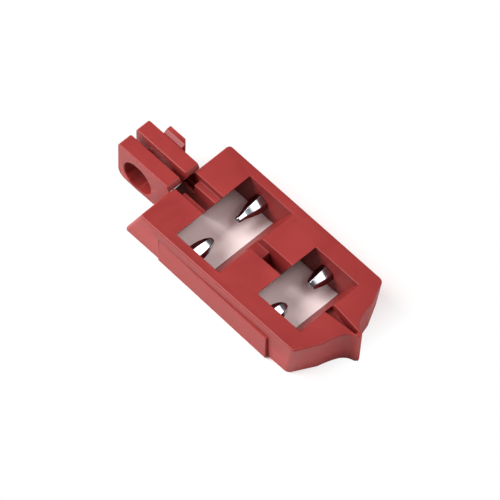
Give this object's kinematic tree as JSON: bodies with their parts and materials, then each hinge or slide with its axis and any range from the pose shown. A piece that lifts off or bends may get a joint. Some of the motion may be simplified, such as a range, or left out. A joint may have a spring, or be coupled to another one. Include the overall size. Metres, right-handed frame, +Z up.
{
  "type": "edge tuning tool",
  "caption": "Pocket ski edge tuning tool: moulded red body with raked windows, hexagonal steel pins pointing into them, a pointed nose and a sprung fork with a pivot hole.",
  "frame": {"origin": "on the underside, below the middle of the length and the width of the body with its covers", "axes": "+X from the fork to the nose along the length, +Y across to the side with the snap catch, +Z up out of the top face"},
  "size_m": [0.0994, 0.0396, 0.0168],
  "materials": {
    "body_plastic": "red moulded plastic, fine satin texture",
    "cover_plastic": "red moulded plastic, fine satin texture",
    "arm_plastic": "red moulded plastic, fine satin texture",
    "pin_steel": "bright polished hardened steel",
    "screw_steel": "zinc plated steel"
  },
  "bodies": {
    "body": {"upper_body": "body_plastic", "lower_body": "body_plastic", "front_cover": "cover_plastic", "rear_cover": "cover_plastic", "neck_pin": "pin_steel", "bullet_pin": "pin_steel", "blunt_pin": "pin_steel", "short_pin": "pin_steel", "body_screw_1": "screw_steel", "body_screw_2": "screw_steel", "body_screw_3": "screw_steel", "body_screw_4": "screw_steel", "body_screw_5": "screw_steel", "body_screw_6": "screw_steel"},
    "front_arm": {"front_arm": "arm_plastic"},
    "rear_arm": {"rear_arm": "arm_plastic"}
  },
  "joints": [
    {"name": "front_arm_flex", "type": "hinge", "parent": "body", "child": "front_arm", "pos_m": [-0.0269, -0.0053, 0.0066], "axis": [0, 0, -1], "range_deg": [0, 2.4], "stiffness_Nm_per_rad": 1},
    {"name": "rear_arm_flex", "type": "hinge", "parent": "body", "child": "rear_arm", "pos_m": [-0.0269, 0.0053, 0.0066], "axis": [0, 0, 1], "range_deg": [0, 2.4], "stiffness_Nm_per_rad": 1}
  ]
}
